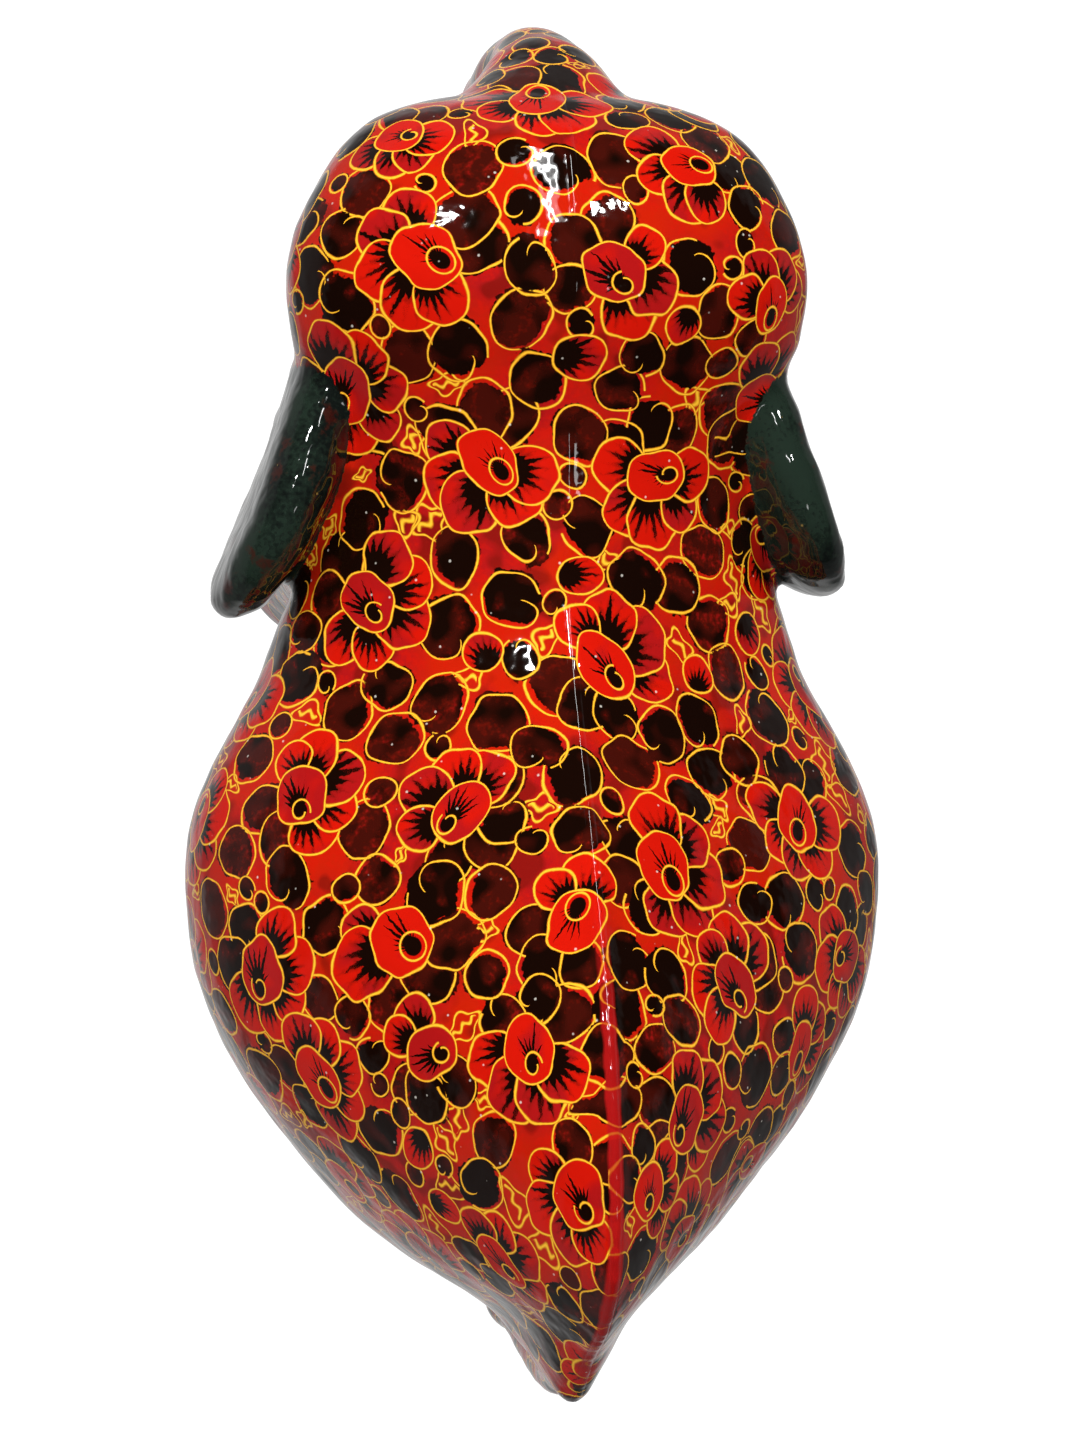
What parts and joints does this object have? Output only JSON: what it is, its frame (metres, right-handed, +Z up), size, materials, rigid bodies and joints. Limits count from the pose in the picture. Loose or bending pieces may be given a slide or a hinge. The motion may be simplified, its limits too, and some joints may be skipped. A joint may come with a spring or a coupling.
{
  "type": "papier-mache elephant",
  "caption": "Standing elephant ornament in painted, lacquered papier-mache, with hanging trunk, thick ears and a ridged back, hollow and light.",
  "frame": {"origin": "centre of the bounding box's base, on the plane the soles stand on", "axes": "+Z up; the elephant faces -Y, its tail is towards +Y and its left side is +X"},
  "size_m": [0.0744, 0.1443, 0.0978],
  "materials": {
    "painted_lacquer": "gloss lacquer over hand-painted flowers in red, maroon and gold; dark green ears"
  },
  "bodies": {
    "root": {"elephant": "painted_lacquer"}
  },
  "joints": []
}
